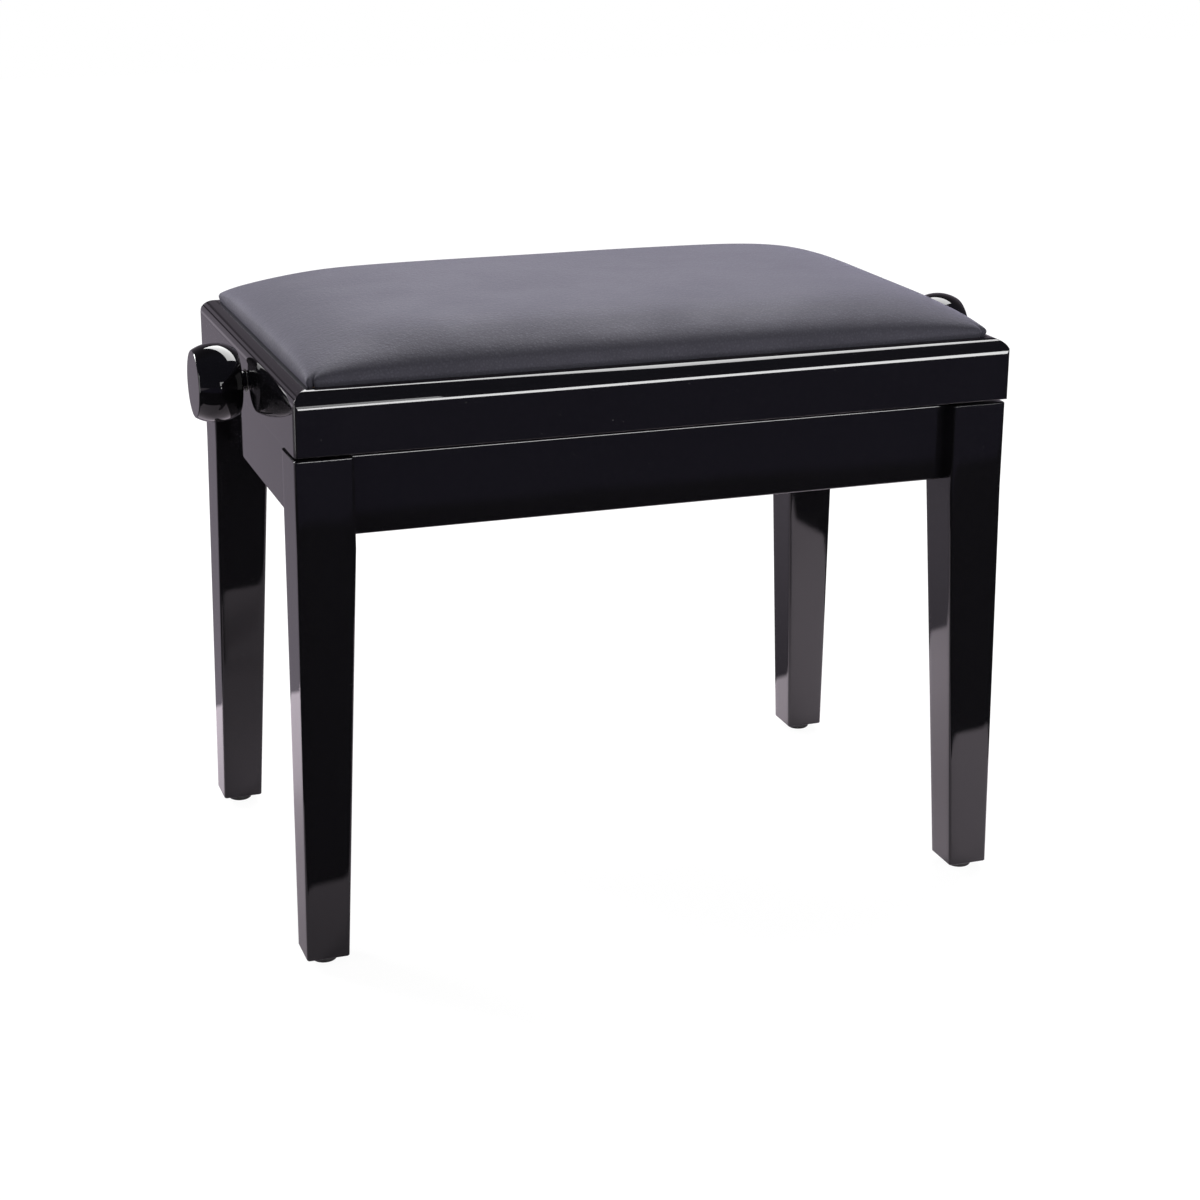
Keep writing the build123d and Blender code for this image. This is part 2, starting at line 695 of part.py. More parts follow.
def make_collar():
    """The left thrust collar, which runs against its bushing's flange."""
    x0 = collar_middle() - COLLAR_LENGTH / 2
    x1 = collar_middle() + COLLAR_LENGTH / 2
    collar = long_rod(x0, x1, COLLAR_RADIUS) - long_rod(x0, x1, SPINDLE_RADIUS + FIT)
    low = (collar_middle(), -SPINDLE_FORWARD, upper_z - COLLAR_RADIUS)
    return collar - rod(low, (collar_middle(), -SPINDLE_FORWARD, upper_z), SET_SCREW_RADIUS + FIT)


def make_set_screws():
    """The left knob's and the left collar's set screws, tightened on the spindle."""
    top = upper_z - SPINDLE_RADIUS - FIT
    return [
        rod((x, -SPINDLE_FORWARD, top - SET_SCREW_LENGTH), (x, -SPINDLE_FORWARD, top), SET_SCREW_RADIUS)
        for x in (knob_screw_x(), collar_middle())
    ]


def make_bushing():
    """The left spindle bushing, flanged inside the frame."""
    bushing = long_rod(-half_width, -rail_in_x, BUSHING_RADIUS)
    bushing += long_rod(-rail_in_x, -rail_in_x + BUSHING_FLANGE, BUSHING_FLANGE_RADIUS)
    return bushing - long_rod(-half_width, -rail_in_x + BUSHING_FLANGE, SPINDLE_RADIUS + FIT)


def make_nut_bar():
    """The bar between the lifting arms' upper ends, bored for the nut, with a trunnion at each end."""
    half = NUT_BAR / 2
    seat_y = arm_a_in - RUNNING
    bar = block(slide_x - half, slide_x + half, -seat_y, seat_y, upper_z - half, upper_z + half)
    ends = bar.edges().filter_by(Axis.Y)
    bar = fillet(ends, EDGE_EASE)
    bar += cross_rod(slide_x, upper_z, -bush_out, bush_out, PIN_RADIUS)
    return bar - long_rod(slide_x - half, slide_x + half, NUT_RADIUS + FIT)


def make_spindle_nut():
    """The flanged nut in the nut bar, loose on the spindle because the linkage is open."""
    start = slide_x - NUT_BAR / 2
    face = slide_x + NUT_BAR / 2
    nut = long_rod(start, face, NUT_RADIUS) + long_rod(face, face + NUT_FLANGE, NUT_FLANGE_RADIUS)
    return nut - long_rod(start, face + NUT_FLANGE, SPINDLE_RADIUS + NUT_PLAY)


def base_parts():
    """The legs, aprons, brackets and lower channels."""
    parts = {}
    leg = make_leg()
    glide = make_glide()
    bracket = make_bracket()
    for name, (side, face) in CORNERS.items():
        parts["leg_" + name] = at_corner(leg, side, face)
        parts["foot_glide_" + name] = at_corner(glide, side, face)
        parts["corner_bracket_" + name] = at_corner(bracket, side, face)
    bolt = bolt_bar(BOLT_RADIUS, 0)
    nut = make_bolt_nut()
    bracket_screws = [screw(seat, direction) for seat, direction in bracket_screw_seats()]
    everywhere = list(CORNERS.values())
    parts["hanger_bolts"] = group([at_corner(bolt, *corner) for corner in everywhere])
    parts["hanger_nuts"] = group([at_corner(nut, *corner) for corner in everywhere])
    parts["bracket_screws"] = group(
        [at_corner(piece, *corner) for piece in bracket_screws for corner in everywhere])
    long_apron = make_long_apron()
    side_apron = make_side_apron()
    for name, face in FACES.items():
        parts["apron_" + name] = at_corner(long_apron, -1, face)
        parts["lower_channel_" + name] = make_channel(apron_in_y, lower_z, face)
    for name, side in SIDES.items():
        parts["apron_" + name] = at_corner(side_apron, side, -1)
    parts["lower_channel_screws"] = group(
        [screw(*place) for face in FACES.values()
         for place in channel_screw_seats(apron_in_y, lower_z, face)])
    parts["lower_pivot_pins"] = group(
        [make_pivot_pin(apron_in_y, arm_a_out, arm_a_in, lower_z, face) for face in FACES.values()])
    parts["lower_pivot_clips"] = group(
        [make_pivot_clip(arm_a_in, lower_z, face) for face in FACES.values()])
    return parts


def seat_parts():
    """The seat frame, the pad and what the frame carries."""
    parts = {}
    long_rail = make_long_rail()
    side_rail = make_side_rail()
    bushing = make_bushing()
    for name, face in FACES.items():
        parts["seat_rail_" + name] = at_corner(long_rail, -1, face)
        parts["upper_channel_" + name] = make_channel(rail_in_y, upper_z, face)
    for name, side in SIDES.items():
        parts["seat_rail_" + name] = at_corner(side_rail, side, -1)
        parts["spindle_bushing_" + name] = at_corner(bushing, side, -1)
    parts["mitre_keys"] = group([at_corner(make_key(0), *corner) for corner in CORNERS.values()])
    parts["seat_board"] = make_board()
    parts["seat_foam"] = crown(COVER_THICK + FOAM_CLEARANCE)
    parts["seat_cover"] = make_cover()
    parts["board_screws"] = group([make_board_screw(x, y) for x, y in board_screw_places()])
    parts["upper_channel_screws"] = group(
        [screw(*place) for face in FACES.values()
         for place in channel_screw_seats(rail_in_y, upper_z, face)])
    parts["upper_pivot_pins"] = group(
        [make_pivot_pin(rail_in_y, arm_b_out, arm_b_in, upper_z, face) for face in FACES.values()])
    parts["upper_pivot_clips"] = group(
        [make_pivot_clip(arm_b_in, upper_z, face) for face in FACES.values()])
    return parts


def lift_parts():
    """The scissor arms, the nut bar and the spindle with its knobs."""
    parts = {}
    knob = make_knob()
    collar = make_collar()
    for name, face in FACES.items():
        parts["lift_arm_" + name] = make_lift_arm(face)
        parts["cross_arm_" + name] = make_cross_arm(face)
        parts["lower_guide_bush_" + name] = make_bush(slide_x, lower_z, arm_b_out, face)
        parts["upper_guide_bush_" + name] = make_bush(slide_x, upper_z, arm_a_out, face)
    tie_x, tie_z = tie_place()
    parts["lift_arm_tie"] = tie_rod(tie_x, tie_z, arm_a_in, arm_a_out)
    parts["cross_arm_tie"] = tie_rod(slide_x, lower_z, arm_b_in, bush_out)
    parts["centre_bolts"] = group([make_centre_bolt(face) for face in FACES.values()])
    parts["centre_nuts"] = group([make_centre_nut(face) for face in FACES.values()])
    parts["nut_bar"] = make_nut_bar()
    parts["spindle_nut"] = make_spindle_nut()
    parts["spindle"] = make_spindle()
    for name, side in SIDES.items():
        parts["knob_" + name] = at_corner(knob, side, -1)
        parts["thrust_collar_" + name] = at_corner(collar, side, -1)
    parts["set_screws"] = group(
        [at_corner(piece, side, -1) for piece in make_set_screws() for side in SIDES.values()])
    return parts


os.makedirs("parts", exist_ok=True)
for node, shape in {**base_parts(), **seat_parts(), **lift_parts()}.items():
    export_step(shape, f"parts/{node}.step")
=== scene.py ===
import json
import math

import bmesh
import bpy
from mathutils import Euler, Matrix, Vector, noise


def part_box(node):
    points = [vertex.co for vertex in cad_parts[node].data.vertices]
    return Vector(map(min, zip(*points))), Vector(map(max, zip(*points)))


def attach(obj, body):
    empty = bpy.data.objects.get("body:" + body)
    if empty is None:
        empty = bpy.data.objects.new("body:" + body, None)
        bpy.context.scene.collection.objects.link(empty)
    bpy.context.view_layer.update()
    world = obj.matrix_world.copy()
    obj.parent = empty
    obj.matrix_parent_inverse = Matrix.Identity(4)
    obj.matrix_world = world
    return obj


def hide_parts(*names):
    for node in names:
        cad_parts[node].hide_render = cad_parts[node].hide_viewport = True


# A gloss black piano bench with a leatherette pad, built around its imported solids.
# Metres. +X runs to the right seen from the front, +Y to the back, +Z up.
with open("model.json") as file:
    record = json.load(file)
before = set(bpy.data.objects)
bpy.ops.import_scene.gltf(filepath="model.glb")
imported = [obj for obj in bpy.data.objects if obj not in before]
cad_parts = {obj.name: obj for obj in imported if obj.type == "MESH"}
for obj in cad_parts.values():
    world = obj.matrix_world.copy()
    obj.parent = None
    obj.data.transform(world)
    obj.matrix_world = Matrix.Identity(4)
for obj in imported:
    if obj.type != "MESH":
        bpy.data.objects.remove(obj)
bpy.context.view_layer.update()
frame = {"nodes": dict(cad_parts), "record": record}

# Pad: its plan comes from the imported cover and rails
pad_low, pad_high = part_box("seat_cover")
half_x = pad_high.x
half_y = pad_high.y
rail_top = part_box("seat_rail_front")[1].z

# Pad: edge, crown and the cover's turned-under lip
PAD_BULGE = 0.0012
PAD_EDGE = 0.0045
PAD_CORNER = 0.0035
SHOULDER_POWER = 5.3
CROWN_POWER = 2.2
COVER_THICK = 0.002
COVER_LIP = 0.009
COVER_FOLD = 0.0006
BOARD_ROOM = 0.0002
crown_rise = pad_high.z - rail_top - PAD_EDGE

# Pad: spacing of its grid, fine at the edges and wider in the middle
FINE_STEP = 0.0010
COARSE_STEP = 0.0100
STEP_GROWTH = 1.16

# Pad: cloth run, which starts lower than the finished form and is held at the rim
SIM_STEP = 0.008
SIM_FRAMES = 20
SIM_PRESSURE = 4.0
SIM_START_LOWER = 0.0014
SIM_RIM = 0.0004
SIM_CAP = 0.0018
SIM_SMALLEST = 1e-9
SIM_CALM = 8
SIM_CALM_OWN = 0.5

# Pad: slow unevenness of the top, pull between the staples, pleats at the corners
UNEVEN = 0.00035
UNEVEN_LENGTH = 0.110
PUCKER = 0.00030
PUCKER_LENGTH = 0.013
PUCKER_REACH = 0.006
PUCKER_SLICE = 0.3
PLEAT_DEPTH = 0.0055
PLEAT_WIDTH = 0.0014
PLEAT_PLACE = 0.0022
PLEAT_FOLD = 0.0007
PLEAT_FOLD_PLACE = 0.0030
PLEAT_FOLD_WIDTH = 0.0022
PLEAT_REACH = 0.011
PLEAT_LEVEL = 0.7
PLEAT_UP = 0.25

# Lacquer: colours, depth of its orange peel and slow waves, dust, hairlines and haze
LACQUER_BLACK = (0.0030, 0.0028, 0.0034)
LACQUER_DUST = (0.020, 0.019, 0.019)
LACQUER_IOR = 1.50
LACQUER_PEEL = 0.0000045
LACQUER_WAVE = 0.000110
KNOB_PEEL = 0.0000030
KNOB_WAVE = 0.000040
PEEL_PER_METRE = 190.0
WAVES_PER_METRE = 11.0
DUST_PER_METRE = 95.0
DUST_ROUGH = 0.16
HAIRLINE_STRETCH = (40.0, 40.0, 900.0)
HAIRLINE_ROUGH = 0.020
HAZE_PER_METRE = 14.0
HAZE_ROUGH = (0.018, 0.050)

# Lacquer: how far its edges are softened, and how far in and how much the legs' faces bend
EDGE_SOFT = 0.0008
EDGE_SHARE = 0.5
FACE_SOFT = 0.0090
LEG_BEND = 0.14
BEVEL_SAMPLES = 8

# Leatherette: colours, pebbles with creases between them that are painted darker as painted shade, pores,
# and worn patches. Pebbles are smoother.
CREASE_SHADE_COLOUR = (0.0145, 0.0141, 0.0172)
PEBBLE_COLOUR = (0.0195, 0.0190, 0.0232)
PEBBLES_PER_METRE = 430.0
PEBBLE_BENDS_PER_METRE = 260.0
PEBBLE_BEND = 0.0016
PORES_PER_METRE = 1900.0
BUMPS_PER_METRE = 330.0
PATCHES_PER_METRE = 16.0
CREASE_DEPTH = 0.000055
PORE_DEPTH = 0.000012
BUMP_DEPTH = 0.000220
PATCH_ROUGH = (0.66, 0.74)
PEBBLE_ROUGH = -0.06

# Plastic, metal, wood and foam
SCUFFS_PER_METRE = 70.0
METAL_PATCHES_PER_METRE = 60.0
METAL_LINE_ROUGH = 0.10
WOOD_GRAIN_STRETCH = (4.0, 60.0, 60.0)
WOOD_PORE_STRETCH = (60.0, 1400.0, 1400.0)
WOOD_PORE_SHADE = 0.35
WOOD_PORE_DEPTH = 0.00006
WOOD_ROUGH = (0.60, 0.78)
FOAM_CELLS_PER_METRE = 900.0
# Foam: the hollows of its cells are painted darker, as painted shade
FOAM_HOLLOW_SHADE = (0.42, 0.38, 0.28)
FOAM_LIGHT = (0.80, 0.76, 0.62)
FOAM_DEPTH = 0.0003
FOAM_ROUGH = (0.95, 0.85)

# Camera: place in metres, angles in degrees, lens and sensor in millimetres
CAMERA_PLACE = (-0.6044, -1.7303, 0.8152)
CAMERA_AZIMUTH = 18.541
CAMERA_ELEVATION = 17.310
CAMERA_LENS = 71.475
CAMERA_SENSOR = 36.0
CAMERA_SHIFT = (0.0333, -0.0417)

# Lamps: place and size in metres, power in watts, turn in degrees.
# Each faces the middle of the seat unless it has a target of its own.
SEAT_MIDDLE = (0.0, 0.0, rail_top)
LAMPS = {
    "softbox": {
        "spot": (0.344, 0.776, 1.62),
        "size": (0.85, 1.75),
        "power": 44.5,
        "target": (0.344, 0.776, 0.0),
        "turn": 32.0,
    },
    "strip": {"spot": (0.80, -2.15, 0.46), "size": (1.60, 0.50), "power": 44.0, "turn": 32.0},
    "side": {"spot": (-1.34, 1.19, 1.05), "size": (0.50, 0.90), "power": 27.0},
    "corner": {"spot": (-1.30, -0.45, 0.54), "size": (0.40, 0.88), "power": 4.6},
    "spark": {"spot": (0.145, -2.15, 0.685), "size": (0.45, 0.40), "power": 2.8},
}

# Floor: white for the camera, with a thin grey that takes the object's shadow
FLOOR_SIZE = 12.0
FLOOR_PAPER = (0.80, 0.80, 0.80, 1.0)
FLOOR_THIN = (0.09, 0.09, 0.09, 1.0)
FLOOR_NEAR = 0.45
FLOOR_FAR = 1.10
FLOOR_NEAR_WHITE = 0.94
FLOOR_WHITE = 1.0

# Floor as the gloss sees it: a white table, turned by some degrees, brighter to the right and the back by
# painted light and shade in its colour, with a painted glow
TABLE_TURN = -12.0
TABLE_FRONT = -0.362
TABLE_BACK = 0.308
TABLE_SIDE = 0.545
TABLE_SOFT = 0.007
TABLE_BRIGHT_ACROSS = (-0.45, 0.45)
TABLE_BRIGHT_ALONG = (-0.20, 0.45)
TABLE_BRIGHT_BACK = 0.40
TABLE_PAINTED_SHADE_COLOUR = (0.42, 0.374, 0.42)
TABLE_BRIGHT_COLOUR = (1.0, 0.89, 0.99)
TABLE_GLOW_COLOUR = (1.0, 0.89, 1.0, 1.0)
TABLE_GLOW = 0.10

# Floor as the gloss sees it: the dim studio beyond the table, painted on the floor as glow, a painted
# reflection, brightest far to the left
STUDIO_FRONT = -1.29
STUDIO_FRONT_SOFT = 0.03
STUDIO_LEFT = -1.50
STUDIO_LEFT_SOFT = 0.10
STUDIO_MIDDLE_SOFT = 0.05
STUDIO_BACK_SPREAD = 0.30
NEAR_FRONT_PAINTED_GLOW = (0.018, 0.016, 0.020)
FAR_FRONT_PAINTED_GLOW = (0.080, 0.072, 0.125)
BACK_RIGHT_PAINTED_GLOW = (0.125, 0.110, 0.135)
BACK_LEFT_PAINTED_GLOW = (0.345, 0.307, 0.362)
FAR_LEFT_PAINTED_GLOW = (0.60, 0.54, 0.62)

# Surroundings: levels of light from low to high at the back, one dim colour at the front
WHITE = (1.0, 1.0, 1.0, 1.0)
ROOM_FILL = 0.30
ROOM_FRONT_COLOUR = (0.064, 0.064, 0.092)
ROOM_TINT = (1.0, 0.89, 1.05)
ROOM_HEIGHTS = (-0.1, 0.9)
ROOM_REAR = (-0.10, 0.45)
ROOM_LEVELS = [
    (0.0, 0.36),
    (0.07, 0.36),
    (0.085, 0.06),
    (0.11, 0.06),
    (0.13, 0.30),
    (0.20, 0.30),
    (0.22, 0.10),
    (0.25, 0.10),
    (0.28, 0.22),
    (0.50, 0.16),
    (1.0, 0.03),
]


# Node helpers
def add(tree, kind, inputs=None, **settings):
    """One node, with its settings and its inputs, which are sockets or plain values."""
    node = tree.nodes.new(kind)
    for key, value in settings.items():
        setattr(node, key, value)
    for key, value in (inputs or {}).items():
        if isinstance(value, bpy.types.NodeSocket):
            tree.links.new(value, node.inputs[key])
        else:
            node.inputs[key].default_value = value
    return node


def place(tree, stretch=(1.0, 1.0, 1.0)):
    """Points on the surface in metres, stretched along the axes."""
    coords = add(tree, "ShaderNodeTexCoord").outputs["Object"]
    return add(tree, "ShaderNodeMapping", {"Vector": coords, "Scale": stretch}).outputs["Vector"]


def cloud(tree, vector, scale, detail=3.0, rough=0.5):
    """Soft noise from 0 to 1."""
    inputs = {"Vector": vector, "Scale": scale, "Detail": detail, "Roughness": rough}
    return add(tree, "ShaderNodeTexNoise", inputs).outputs["Fac"]


def cells(tree, vector, scale, feature="F1"):
    """Distance to the nearest point or border of a cell pattern."""
    inputs = {"Vector": vector, "Scale": scale}
    return add(tree, "ShaderNodeTexVoronoi", inputs, feature=feature).outputs["Distance"]


def span(tree, value, low, high, to_low=0.0, to_high=1.0):
    """A value carried from one range to another, held at the ends."""
    inputs = {"Value": value, 1: low, 2: high, 3: to_low, 4: to_high}
    return add(tree, "ShaderNodeMapRange", inputs, interpolation_type="SMOOTHSTEP").outputs["Result"]


def joined(tree, first, second, operation="ADD"):
    """Two values added, or joined by another operation."""
    return add(tree, "ShaderNodeMath", {0: first, 1: second}, operation=operation).outputs["Value"]


def vectors(tree, first, second, operation):
    """Two vectors joined by an operation."""
    return add(tree, "ShaderNodeVectorMath", {0: first, 1: second}, operation=operation).outputs[0]


def colour(value):
    """A socket as it is, or a plain colour made opaque."""
    if isinstance(value, bpy.types.NodeSocket):
        return value
    return (*value, 1.0)


def tint(tree, share, first, second):
    """A colour between two, by a share that changes over the surface."""
    inputs = {"Factor": share, 6: colour(first), 7: colour(second)}
    return add(tree, "ShaderNodeMix", inputs, data_type="RGBA").outputs[2]


def lean(tree, share, first, second):
    """A direction between two."""
    inputs = {"Factor": share, 4: first, 5: second}
    return add(tree, "ShaderNodeMix", inputs, data_type="VECTOR").outputs[1]


def relief(tree, height, distance, normal=None):
    """A bump of a real height in metres on top of another normal."""
    inputs = {"Height": height, "Distance": distance, "Strength": 1.0}
    if normal is not None:
        inputs["Normal"] = normal
    return add(tree, "ShaderNodeBump", inputs).outputs["Normal"]


def material(name, inputs_of, **constants):
    """A material. A function makes its changing inputs, and the fixed ones are set on the shader."""
    made = bpy.data.materials.new(name)
    made.use_nodes = True
    tree = made.node_tree
    tree.nodes.clear()
    inputs = {key.replace("_", " "): value for key, value in constants.items()}
    inputs.update(inputs_of(tree))
    shader = add(tree, "ShaderNodeBsdfPrincipled", inputs)
    add(tree, "ShaderNodeOutputMaterial", {"Surface": shader.outputs["BSDF"]})
    return made


# Finishes
def eased_normal(tree, bend):
    """The surface's normal with softened edges, and with faces that bend towards their edges."""
    own = add(tree, "ShaderNodeNewGeometry").outputs["Normal"]
    soft = add(tree, "ShaderNodeBevel", {"Radius": EDGE_SOFT}, samples=BEVEL_SAMPLES).outputs["Normal"]
    eased = lean(tree, EDGE_SHARE, own, soft)
    if bend:
        wide = add(tree, "ShaderNodeBevel", {"Radius": FACE_SOFT}, samples=BEVEL_SAMPLES).outputs["Normal"]
        level = vectors(tree, wide, (1.0, 1.0, 0.0), "MULTIPLY")
        eased = lean(tree, bend, eased, level)
    return add(tree, "ShaderNodeVectorMath", {0: eased}, operation="NORMALIZE").outputs[0]


def lacquer_inputs(peel, wave, bend=0.0):
    """Polished black lacquer: orange peel, slow waves, hairlines, haze and dust."""
    def inputs(tree):
        spot = place(tree)
        dust = span(tree, cells(tree, spot, DUST_PER_METRE), 0.05, 0.02)
        hair = span(tree, cloud(tree, place(tree, HAIRLINE_STRETCH), 1.0, 2.0), 0.62, 0.70)
        haze = span(tree, cloud(tree, spot, HAZE_PER_METRE, 4.0), 0.35, 0.70, *HAZE_ROUGH)
        rough = joined(tree, haze, joined(tree, hair, HAIRLINE_ROUGH, "MULTIPLY"))
        rough = joined(tree, rough, joined(tree, dust, DUST_ROUGH, "MULTIPLY"))
        waves = relief(tree, cloud(tree, spot, WAVES_PER_METRE, 1.0), wave, eased_normal(tree, bend))
        skin = relief(tree, cloud(tree, spot, PEEL_PER_METRE, 2.0), peel, waves)
        return {
            "Base Color": tint(tree, dust, LACQUER_BLACK, LACQUER_DUST),
            "Roughness": rough,
            "Normal": skin,
        }
    return inputs


def leather_inputs(tree):
    """Fine-grained leatherette: pebbles with creases between them painted darker as painted shade, pores,
    and worn and matt patches.
    """
    spot = place(tree)
    noise_inputs = {"Vector": spot, "Scale": PEBBLE_BENDS_PER_METRE, "Detail": 2.0}
    bent = add(tree, "ShaderNodeTexNoise", noise_inputs).outputs["Color"]
    scaled = add(tree, "ShaderNodeVectorMath", {0: bent, "Scale": PEBBLE_BEND}, operation="SCALE")
    warped = vectors(tree, spot, scaled.outputs[0], "ADD")
    pebble = span(tree, cells(tree, warped, PEBBLES_PER_METRE, "DISTANCE_TO_EDGE"), 0.0, 0.40)
    pore = cloud(tree, spot, PORES_PER_METRE, 2.0)
    patch = cloud(tree, spot, PATCHES_PER_METRE, 4.0)
    grain = relief(tree, pebble, CREASE_DEPTH)
    skin = relief(tree, pore, PORE_DEPTH, grain)
    swell = relief(tree, cloud(tree, spot, BUMPS_PER_METRE, 1.0), BUMP_DEPTH, skin)
    worn = span(tree, patch, 0.3, 0.7, *PATCH_ROUGH)
    return {
        # the creases between the pebbles are painted darker: painted shade
        "Base Color": tint(tree, pebble, CREASE_SHADE_COLOUR, PEBBLE_COLOUR),
        "Roughness": joined(tree, worn, joined(tree, pebble, PEBBLE_ROUGH, "MULTIPLY")),
        "Normal": swell,
    }


def plastic_inputs(plain, scuffed, rough, grain, height):
    """Moulded plastic or a powder coat: fine texture, and scuffs of another colour that are rougher."""
    def inputs(tree):
        spot = place(tree)
        scuff = span(tree, cloud(tree, spot, SCUFFS_PER_METRE, 5.0, 0.6), 0.52, 0.72)
        return {
            "Base Color": tint(tree, scuff, plain, scuffed),
            "Roughness": span(tree, scuff, 0.0, 1.0, *rough),
            "Normal": relief(tree, cloud(tree, spot, grain, 2.0), height),
        }
    return inputs


def metal_inputs(dull, bright, rough, stretch, height):
    """Metal with drawn lines or zinc patches, dulled in places."""
    def inputs(tree):
        lines = cloud(tree, place(tree, stretch), 1.0, 3.0)
        patch = span(tree, cloud(tree, place(tree), METAL_PATCHES_PER_METRE, 4.0), 0.35, 0.70)
        worn = span(tree, patch, 0.0, 1.0, *rough)
        return {
            "Base Color": tint(tree, patch, bright, dull),
            "Roughness": joined(tree, worn, joined(tree, lines, METAL_LINE_ROUGH, "MULTIPLY")),
            "Normal": relief(tree, lines, height),
        }
    return inputs


def wood_inputs(dark, light):
    """Raw wood: long grain along X with pores."""
    def inputs(tree):
        grain = cloud(tree, place(tree, WOOD_GRAIN_STRETCH), 1.0, 5.0, 0.6)
        pore = cloud(tree, place(tree, WOOD_PORE_STRETCH), 1.0, 2.0)
        darker = span(tree, pore, 0.55, 0.75, 0.0, WOOD_PORE_SHADE)
        shade = joined(tree, span(tree, grain, 0.3, 0.7), darker)
        return {
            "Base Color": tint(tree, shade, light, dark),
            "Roughness": span(tree, pore, 0.3, 0.7, *WOOD_ROUGH),
            "Normal": relief(tree, pore, WOOD_PORE_DEPTH),
        }
    return inputs


def foam_inputs(tree):
    """Open-cell foam, with the hollows of its cells painted darker as painted shade."""
    cell = cells(tree, place(tree), FOAM_CELLS_PER_METRE)
    return {
        "Base Color": tint(tree, cell, FOAM_HOLLOW_SHADE, FOAM_LIGHT),
        "Roughness": span(tree, cell, 0.0, 0.6, *FOAM_ROUGH),
        "Normal": relief(tree, cell, FOAM_DEPTH),
    }


FINISHES = {
    "black_lacquer": material("black_lacquer", lacquer_inputs(LACQUER_PEEL, LACQUER_WAVE), IOR=LACQUER_IOR),
    "leatherette": material(
        "leatherette",
        leather_inputs,
        IOR=1.45,
        Specular_Tint=(0.84, 0.81, 1.0, 1.0),
        Sheen_Weight=0.20,
        Sheen_Roughness=0.43,
        Sheen_Tint=(0.78, 0.74, 1.0, 1.0),
    ),
    "knob_gloss": material("knob_gloss", lacquer_inputs(KNOB_PEEL, KNOB_WAVE), IOR=LACQUER_IOR),
    "glide_plastic": material(
        "glide_plastic",
        plastic_inputs(
            plain=(0.010, 0.010, 0.010),
            scuffed=(0.035, 0.034, 0.033),
            rough=(0.38, 0.60),
            grain=900.0,
            height=0.00004,
        ),
    ),
    "zinc_steel": material(
        "zinc_steel",
        metal_inputs(
            dull=(0.42, 0.43, 0.42),
            bright=(0.62, 0.63, 0.65),
            rough=(0.26, 0.42),
            stretch=(180.0, 180.0, 180.0),
            height=0.00002,
        ),
        Metallic=1.0,
    ),
    "bright_steel": material(
        "bright_steel",
        metal_inputs(
            dull=(0.46, 0.46, 0.45),
            bright=(0.66, 0.66, 0.67),
            rough=(0.16, 0.30),
            stretch=(900.0, 60.0, 60.0),
            height=0.00001,
        ),
        Metallic=1.0,
    ),
    "black_steel": material(
        "black_steel",
        plastic_inputs(
            plain=(0.012, 0.012, 0.013),
            scuffed=(0.040, 0.040, 0.041),
            rough=(0.42, 0.56),
            grain=1500.0,
            height=0.00006,
        ),
    ),
    "plywood": material("plywood", wood_inputs(dark=(0.17, 0.105, 0.055), light=(0.30, 0.21, 0.13))),
    "raw_wood": material("raw_wood", wood_inputs(dark=(0.36, 0.23, 0.12), light=(0.62, 0.46, 0.29))),
    "foam": material("foam", foam_inputs),
    "nylon": material(
        "nylon",
        plastic_inputs(
            plain=(0.72, 0.70, 0.64),
            scuffed=(0.58, 0.56, 0.50),
            rough=(0.34, 0.50),
            grain=700.0,
            height=0.00003,
        ),
    ),
    "brass_nut": material(
        "brass_nut",
        metal_inputs(
            dull=(0.45, 0.30, 0.11),
            bright=(0.76, 0.56, 0.24),
            rough=(0.18, 0.34),
            stretch=(700.0, 50.0, 50.0),
            height=0.00002,
        ),
        Metallic=1.0,
    ),
}


def dress_nodes():
    """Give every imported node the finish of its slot. The legs' faces bend a little towards their edges."""
    leg_inputs = lacquer_inputs(LACQUER_PEEL, LACQUER_WAVE, LEG_BEND)
    leg_lacquer = material("leg_lacquer", leg_inputs, IOR=LACQUER_IOR)
    for row in frame["record"]["subparts"]:
        finish = FINISHES[row["material_slot"]]
        if row["node"].startswith("leg_"):
            finish = leg_lacquer
        data = frame["nodes"][row["node"]].data
        data.materials.clear()
        data.materials.append(finish)


# Pad
def crown_height(x, y):
    """Share of the crown's height at a place of the plan."""
    along = max(0.0, 1.0 - abs(x / half_x) ** SHOULDER_POWER)
    across = max(0.0, 1.0 - abs(y / half_y) ** SHOULDER_POWER)
    return (along * across) ** (1.0 / CROWN_POWER)


def stations(half, first, largest):
    """Places along one side of the plan, close together at the edges and wider in the middle."""
    steps = [0.0]
    step = first
    while steps[-1] + step < half:
        steps.append(steps[-1] + step)
        step = min(step * STEP_GROWTH, largest)
    scale = half / steps[-1]
    outer = [-half + s * scale for s in steps]
    return outer + [-x for x in reversed(outer[:-1])]


def border(rows):
    """The outermost items of a grid, once round."""
    items = list(rows[0])
    items += [row[-1] for row in rows[1:]]
    items += reversed(rows[-1][:-1])
    items += [row[0] for row in reversed(rows[1:-1])]
    return items


def round_corner(x, y):
    """Carry a point of the square plan to one with rounded corners."""
    over_x = (abs(x) - half_x + PAD_CORNER) / PAD_CORNER
    over_y = (abs(y) - half_y + PAD_CORNER) / PAD_CORNER
    if over_x <= 0.0 or over_y <= 0.0:
        return x, y
    new_x = half_x - PAD_CORNER + PAD_CORNER * over_x * math.sqrt(1.0 - over_y * over_y / 2.0)
    new_y = half_y - PAD_CORNER + PAD_CORNER * over_y * math.sqrt(1.0 - over_x * over_x / 2.0)
    return math.copysign(new_x, x), math.copysign(new_y, y)


